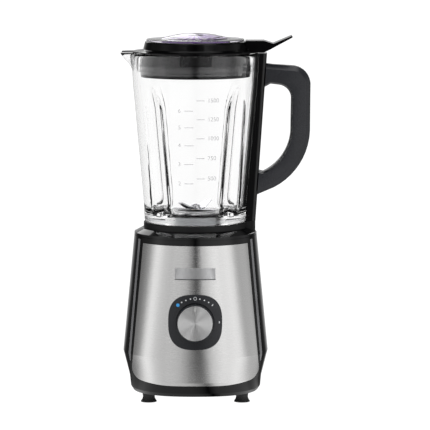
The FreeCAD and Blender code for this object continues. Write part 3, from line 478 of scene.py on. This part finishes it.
def wrapped_number(text, x, z, size):
    """A printed number that follows the glass, with its left end at x and its middle at z."""
    curve = bpy.data.curves.new("number", "FONT")
    curve.body = text
    curve.size = size
    curve.align_y = "CENTER"
    curve.extrude = PRINT_THICK / 2
    curve.resolution_u = 4
    holder = bpy.data.objects.new("number", curve)
    bpy.context.scene.collection.objects.link(holder)
    graph = bpy.context.evaluated_depsgraph_get()
    flat = bpy.data.meshes.new_from_object(holder.evaluated_get(graph))
    points = [on_glass(x + v.co.x, z + v.co.y, PRINT_OUT + PRINT_THICK / 2 + v.co.z) for v in flat.vertices]
    faces = [tuple(f.vertices) for f in flat.polygons]
    bpy.data.objects.remove(holder)
    return points, faces


def merged(shapes):
    vertices, faces = [], []
    for points, polygons in shapes:
        start = len(vertices)
        vertices += points
        faces += [tuple(start + i for i in polygon) for polygon in polygons]
    return vertices, faces


# Millilitres on the right and cups on the left: label and height
MILLILITRES = (("1500", 353.0), ("1250", 331.0), ("1000", 308.8), ("750", 285.6), ("500", 261.8))
CUPS = (("6", 341.0), ("5", 321.6), ("4", 300.6), ("3", 278.6), ("2", 256.0))

print_shapes = []
for labels, bar_start, bar_end, number_at, size in (
    (MILLILITRES, 1.5, 11.0, 14.5, 7.0), (CUPS, -12.5, -2.0, -20.0, 6.5),
):
    for label, height in labels:
        print_shapes.append(wrapped_bar(bar_start, bar_end, height))
        print_shapes.append(wrapped_number(label, number_at, height, size))
piece("jug_scale", *merged(print_shapes), "jug_glass", "jug", smooth=False, material="scale_print")

# ---- the handle ----

STRAP_FACE = ((206.9, 70.6), (404.3, 84.0))  # height, and how far out the strap's face stands there
HANDLE_HALF = 12.5
OUTER_BEVEL, INNER_BEVEL = 6.4, 2.6
HANDLE_CLEARANCE = 0.02


def strap_face(z):
    return between(STRAP_FACE, z)


def arc(start, middle, end, count=10):
    """Points on the circle through three points, from after start up to end."""
    (x1, y1), (x2, y2), (x3, y3) = start, middle, end
    d = 2 * (x1 * (y2 - y3) + x2 * (y3 - y1) + x3 * (y1 - y2))
    s1, s2, s3 = x1 ** 2 + y1 ** 2, x2 ** 2 + y2 ** 2, x3 ** 2 + y3 ** 2
    cx = (s1 * (y2 - y3) + s2 * (y3 - y1) + s3 * (y1 - y2)) / d
    cy = (s1 * (x3 - x2) + s2 * (x1 - x3) + s3 * (x2 - x1)) / d
    radius = math.hypot(x1 - cx, y1 - cy)
    a1, a2, a3 = (math.atan2(y - cy, x - cx) for x, y in (start, middle, end))
    full = 2 * math.pi
    sweep = (a3 - a1) % full
    if (a2 - a1) % full > sweep:
        sweep -= full
    return [
        (cx + radius * math.cos(a1 + sweep * i / count), cy + radius * math.sin(a1 + sweep * i / count))
        for i in range(1, count + 1)
    ]


def run_of(points, *steps):
    """A line through points; a step is a point, or an arc: a point on it and its end."""
    line = [points]
    for step in steps:
        if isinstance(step[0], tuple):
            line += arc(line[-1], *step)
        else:
            start = line[-1]
            line += [tuple(a + (b - a) * i / 4 for a, b in zip(start, step)) for i in range(1, 5)]
    return line


def inset_run(line, depth):
    """A run moved towards the handle's middle: to the right of its direction."""
    moved = []
    for i, (x, z) in enumerate(line):
        x0, z0 = line[max(0, i - 1)]
        x1, z1 = line[min(len(line) - 1, i + 1)]
        length = math.hypot(x1 - x0, z1 - z0)
        moved.append((x + (z1 - z0) / length * depth, z - (x1 - x0) / length * depth))
    return [(max(x, strap_face(z) + HANDLE_CLEARANCE), z) for x, z in moved]


def handle_grip():
    """The grip's outline in the upright plane, repeated at eight depths to round its edges."""
    outer = run_of(
        (strap_face(392.0), 392.0), (90.0, 391.0), (113.0, 389.4), ((129.2, 382.4), (135.0, 365.0)),
        (134.6, 313.0), ((121.6, 272.6), (92.5, 246.4)), (strap_face(238.0), 238.0),
    )
    inner = run_of(
        (strap_face(266.0), 266.0), (79.6, 265.0), ((102.8, 285.4), (111.6, 311.0)), (112.2, 350.0),
        ((108.4, 361.6), (98.0, 367.2)), (88.0, 368.4), (strap_face(364.6), 364.6),
    )
    # How far behind the front face, and the share of the bevels taken off there
    front = ((0.0, 1.0), (0.25, 0.86), (4.2, 0.16), (5.6, 0.0))
    profile = [(-HANDLE_HALF + behind, share) for behind, share in front]
    profile += [(HANDLE_HALF - behind, share) for behind, share in reversed(front)]
    rows = []
    for y, share in profile:
        loop = inset_run(outer, OUTER_BEVEL * share) + inset_run(inner, INNER_BEVEL * share)
        rows.append([(x, y, z) for x, z in loop])
    vertices, faces = rows_to_mesh(rows, closed_rows=False)
    count = len(rows[0])
    faces.append(tuple(range(count)))
    faces.append(tuple(reversed(range(len(vertices) - count, len(vertices)))))
    return vertices, faces


sharpened(piece("handle_grip", *handle_grip(), "satin_black", "jug", ("jug_handle",)), 25.0)

# ---- small pieces on the lid and the base ----

SKIRT_RECESS_R = 63.0
# The base's upper part at its top and bottom: height, half-width, half-depth and roundness
BODY_UPPER = ((190.4, 72.2, 72.2, 2.0), (53.5, 85.4, 79.0, 2.3))
BADGE_LOW, BADGE_HALF, BADGE_CURVE_R = 146.2, 23.5, 76.0
CURVE_STEPS = 16


def recess_shade_sheet(x0, x1, low, high):
    """A dull black sheet laid in the recess at the front of the lid's skirt: painted shade for the recess,
    which catches no reflection.
    """
    corners = ((0.05, low), (0.7, low), (0.7, high), (0.05, high))
    stations = []
    for i in range(CURVE_STEPS + 1):
        turn = math.asin((x0 + (x1 - x0) * i / CURVE_STEPS) / SKIRT_RECESS_R)
        stations.append([
            ((SKIRT_RECESS_R + out) * math.sin(turn), -(SKIRT_RECESS_R + out) * math.cos(turn), z)
            for out, z in corners
        ])
    return bar_between(stations)


def base_front(turn, z, out):
    """A point on the front of the base at a turn from its middle, standing off it."""
    (z1, *top), (z0, *low) = BODY_UPPER
    share = (z - z0) / (z1 - z0)
    x = y = 0.0
    for (half_x, half_y, roundness), weight in ((top, share), (low, 1 - share)):
        s, c = abs(math.sin(turn)), math.cos(turn)
        reach = ((s / half_x) ** roundness + (c / half_y) ** roundness) ** (-1 / roundness)
        x += weight * reach * math.sin(turn)
        y -= weight * reach * c
    return (x + out * math.sin(turn), y - out * math.cos(turn), z)


def badge_shadow_line():
    """A dark strip along the badge's lower edge: the shadow under the plate, painted."""
    reach = (BADGE_HALF + 0.8) / BADGE_CURVE_R
    corners = ((0.04, -0.9), (0.75, -0.9), (0.75, -0.1), (0.04, -0.1))
    stations = []
    for i in range(CURVE_STEPS + 1):
        turn = reach * (2 * i / CURVE_STEPS - 1)
        stations.append([base_front(turn, BADGE_LOW + rise, out) for out, rise in corners])
    return bar_between(stations)


def sector(inner, outer, start, end, low, high):
    """A flat piece of a ring between two angles in degrees."""
    steps = max(2, round(abs(end - start) / 4))
    stations = []
    for i in range(steps + 1):
        turn = math.radians(start + (end - start) * i / steps)
        corners = ((inner, low), (outer, low), (outer, high), (inner, high))
        stations.append([(r * math.cos(turn), r * math.sin(turn), z) for r, z in corners])
    return bar_between(stations)


# The lid skirt's front recess, where a dark sheet paints its shade
RECESS_LEFT, RECESS_RIGHT = -16.9, 18.3
RECESS_LOW, RECESS_HIGH = 391.9, 404.1
RECESS_GAP = 0.5
SKIRT_R = 64.2
SKIRT_BAND_LOW, SKIRT_BAND_HIGH = 391.6, 404.9
CAP_RIBS = 24
PALE_SHARE = 0.55
# The two rings of ribs under the cap: inner and outer radius, bottom and top
RIB_RINGS = ((31.4, 35.6, 418.55, 418.6), (10.0, 28.0, 417.4, 417.9))

# Painted shade: a dark sheet in the skirt's front recess
piece(
    "recess_shade_sheet", *recess_shade_sheet(RECESS_LEFT, RECESS_RIGHT, RECESS_LOW, RECESS_HIGH),
    "matte_black", "lid", smooth=False, material="recess_shade_black",
)
left_turn = math.degrees(math.asin((RECESS_LEFT - RECESS_GAP) / SKIRT_R)) - 90
right_turn = math.degrees(math.asin((RECESS_RIGHT + RECESS_GAP) / SKIRT_R)) - 90
band_shape = sector(
    SKIRT_R + 0.04, SKIRT_R + 0.4, right_turn, left_turn + 360, SKIRT_BAND_LOW, SKIRT_BAND_HIGH
)
skirt_band = piece("skirt_band", *band_shape, "gloss_black", "lid", material="skirt_gloss")
sharpened(skirt_band)
# Painted shadow: a dark strip under the badge
piece("badge_shadow_line", *badge_shadow_line(), "satin_black", "base", smooth=False)

# Pale and lilac ribs in two rings under the clear cap
cap_pale, cap_lilac = [], []
for i in range(CAP_RIBS):
    start, end = 360 / CAP_RIBS * i, 360 / CAP_RIBS * (i + 1)
    middle = start + (end - start) * PALE_SHARE
    for inner, outer, low, high in RIB_RINGS:
        cap_pale.append(sector(inner, outer, start, middle, low, high))
        cap_lilac.append(sector(inner, outer, middle, end, low, high))
piece("cap_pale_ribs", *merged(cap_pale), "cap_silicone", "cap", smooth=False, material="cap_pale")
piece("cap_lilac_ribs", *merged(cap_lilac), "cap_silicone", "cap", smooth=False, material="cap_lilac")


# ---- light, floor and camera ----


# Degrees to the object's right of straight in front, and how bright the room is there
ROOM_TONES = (
    (-180, 0.55), (-164, 0.6), (-152, 0.45), (-142, 0.08), (-124, 0.05), (-112, 0.18), (-100, 0.26),
    (-90, 0.42), (-82, 0.75), (-74, 1.05), (-66, 1.0), (-56, 0.78), (-42, 0.65), (-24, 0.58), (-14, 0.55),
    (-6, 0.3), (0, 0.0), (5, 0.3), (10, 0.66), (22, 0.80), (32, 0.93), (44, 1.0), (57, 1.08), (66, 0.96),
    (72, 0.70), (80, 0.52), (104, 0.55), (114, 0.32), (126, 0.06), (142, 0.08), (152, 0.45), (164, 0.6),
    (180, 0.55),
)
CEILING = 0.15  # how bright the ceiling is beside the walls
CEILING_START, CEILING_END = 0.22, 0.5  # the rise of a direction at which the walls turn into it
WHITE = 1.1
# Seen through the glass: the white of the back wall, that of the rest, and the turn from one to the other
PALE_BACK, PALE_FRONT, PALE_START, PALE_END = 1.03, 0.93, 0.1, 0.3
MIRROR_BLEND = 0.1


def room_tones(tree, direction):
    """A grey for a direction from the object: a white room with tall softboxes and dark gaps between them."""
    split = tree.nodes.new("ShaderNodeSeparateXYZ")
    tree.links.new(direction, split.inputs["Vector"])
    toward = calculated(tree, "MULTIPLY", split.outputs["Y"], -1.0)
    turn = calculated(tree, "ARCTAN2", split.outputs["X"], toward)
    # A colour ramp holds 32 colours at most, so the left and the right half of the room have one each
    halves = []
    for side in (-1, 1):
        rows = sorted((abs(degrees) / 180, tone) for degrees, tone in ROOM_TONES if degrees * side >= 0)
        tones = tree.nodes.new("ShaderNodeValToRGB")
        elements = tones.color_ramp.elements
        elements.remove(elements[-1])
        for i, (position, tone) in enumerate(rows):
            element = elements[0] if i == 0 else elements.new(position)
            element.position = position
            element.color = (tone, tone, tone, 1)
        tree.links.new(ramp(tree, turn, 0.0, 1.0, 0.0, side * math.pi), tones.inputs["Fac"])
        halves.append(tones.outputs["Color"])
    mix = tree.nodes.new("ShaderNodeMix")
    mix.data_type = "RGBA"
    tree.links.new(calculated(tree, "GREATER_THAN", split.outputs["X"], 0.0), mix.inputs["Factor"])
    tree.links.new(halves[0], mix.inputs[6])
    tree.links.new(halves[1], mix.inputs[7])
    return mix.outputs[2], split.outputs["Z"]


def shown_white(tree, room, direction, output):
    """White to the camera, pale through the glass, and the room's tones to everything that it lights."""
    straight = tree.nodes.new("ShaderNodeVectorMath")
    straight.operation = "NORMALIZE"
    split = tree.nodes.new("ShaderNodeSeparateXYZ")
    tree.links.new(direction, straight.inputs[0])
    tree.links.new(straight.outputs["Vector"], split.inputs["Vector"])
    rearward = split.outputs["Y"]
    pale = tree.nodes.new("ShaderNodeEmission")
    strength = ramp(tree, rearward, PALE_FRONT, PALE_BACK, PALE_START, PALE_END)
    tree.links.new(strength, pale.inputs["Strength"])
    white = add(tree, "ShaderNodeEmission", Strength=WHITE)
    path = tree.nodes.new("ShaderNodeLightPath")
    # What gleams behind the glass mirrors the front of the room, so there the tones stay
    unmirrored = calculated(tree, "LESS_THAN", path.outputs["Glossy Depth"], 0.5)
    to_the_back = ramp(tree, rearward, 0.0, 1.0, -MIRROR_BLEND, MIRROR_BLEND)
    either = calculated(tree, "MAXIMUM", unmirrored, to_the_back)
    through = calculated(tree, "MULTIPLY", path.outputs["Is Transmission Ray"], either)
    shader = room
    for seen, share in ((pale, through), (white, path.outputs["Is Camera Ray"])):
        mix = tree.nodes.new("ShaderNodeMixShader")
        tree.links.new(share, mix.inputs["Fac"])
        tree.links.new(shader, mix.inputs[1])
        tree.links.new(seen.outputs["Emission"], mix.inputs[2])
        shader = mix.outputs["Shader"]
    tree.links.new(shader, output.inputs["Surface"])


def studio_world():
    world = bpy.data.worlds.new("studio")
    bpy.context.scene.world = world
    world.use_nodes = True
    tree = world.node_tree
    tree.nodes.clear()
    out = tree.nodes.new("ShaderNodeOutputWorld")
    source = tree.nodes.new("ShaderNodeTexCoord")
    tone, height = room_tones(tree, source.outputs["Generated"])
    studio = tree.nodes.new("ShaderNodeBackground")
    tree.links.new(tone, studio.inputs["Color"])
    above = ramp(tree, height, 1.0, CEILING, CEILING_START, CEILING_END)
    tree.links.new(above, studio.inputs["Strength"])
    shown_white(tree, studio.outputs["Background"], source.outputs["Generated"], out)


def floor_finish():
    """A pale floor: white to the eye, and in reflections as bright as the wall beyond it."""
    material = bpy.data.materials.new("floor_white")
    material.use_nodes = True
    tree = material.node_tree
    tree.nodes.clear()
    out = tree.nodes.new("ShaderNodeOutputMaterial")
    source = tree.nodes.new("ShaderNodeTexCoord")
    tone, _ = room_tones(tree, source.outputs["Object"])
    glow = add(tree, "ShaderNodeEmission", Strength=1.0)
    tree.links.new(tone, glow.inputs["Color"])
    shown_white(tree, glow.outputs["Emission"], source.outputs["Object"], out)
    return material


def aimed(obj, target):
    """Turns a light or a camera to a point."""
    obj.rotation_euler = (target - obj.location).to_track_quat("-Z", "Y").to_euler()


def softbox(name, x, y, z, width, height, power, aim=(0, 0, 210)):
    """A rectangular light at a point in metres, aimed at one in the local millimetres."""
    data = bpy.data.lights.new(name, "AREA")
    data.shape = "RECTANGLE"
    data.size, data.size_y = width, height
    data.energy = power
    obj = bpy.data.objects.new(name, data)
    bpy.context.scene.collection.objects.link(obj)
    obj.location = Vector((x, y, z))
    aimed(obj, place(*aim))
    obj.visible_camera = False


DIAL = (0, -90, 96)
studio_world()
softbox("top_light", 0.0, -0.2, 1.9, 1.6, 1.6, 14.0)
softbox("front_left", -0.9, -1.5, 1.6, 0.7, 0.7, 2.5, DIAL)
softbox("front_right", 0.9, -1.5, 1.6, 0.7, 0.7, 4.0, DIAL)
softbox("rim_left", -0.45, 1.7, 1.1, 0.9, 0.7, 3.2)
softbox("rim_right", 0.45, 1.7, 1.0, 0.35, 0.5, 0.8)
softbox("spot_left", -0.28, 0.75, 1.1, 0.2, 0.2, 0.4)
softbox("spot_right", 0.28, 0.75, 1.1, 0.2, 0.2, 0.4)

FLOOR_HALF = 12.0
floor_corners = [(x * FLOOR_HALF, y * FLOOR_HALF, 0) for x, y in ((-1, -1), (1, -1), (1, 1), (-1, 1))]
floor_mesh = bpy.data.meshes.new("floor")
floor_mesh.from_pydata(floor_corners, [], [(0, 1, 2, 3)])
floor = bpy.data.objects.new("floor", floor_mesh)
bpy.context.scene.collection.objects.link(floor)
floor_mesh.materials.append(floor_finish())

LENS, SENSOR = 257.0, 36.0
CAMERA_AT = (0.0, -3.594, 0.617)
CAMERA_AIM = (0.0, 0.006, 0.2127)

camera_data = bpy.data.cameras.new("camera")
camera_data.lens = LENS
camera_data.sensor_width = SENSOR
camera_data.clip_end = 60.0
camera = bpy.data.objects.new("camera", camera_data)
bpy.context.scene.collection.objects.link(camera)
rise = Vector((0, 0, LIFT))
camera.location = Vector(CAMERA_AT) + rise
aimed(camera, Vector(CAMERA_AIM) + rise)
bpy.context.scene.camera = camera
bpy.context.scene.view_settings.view_transform = "Standard"
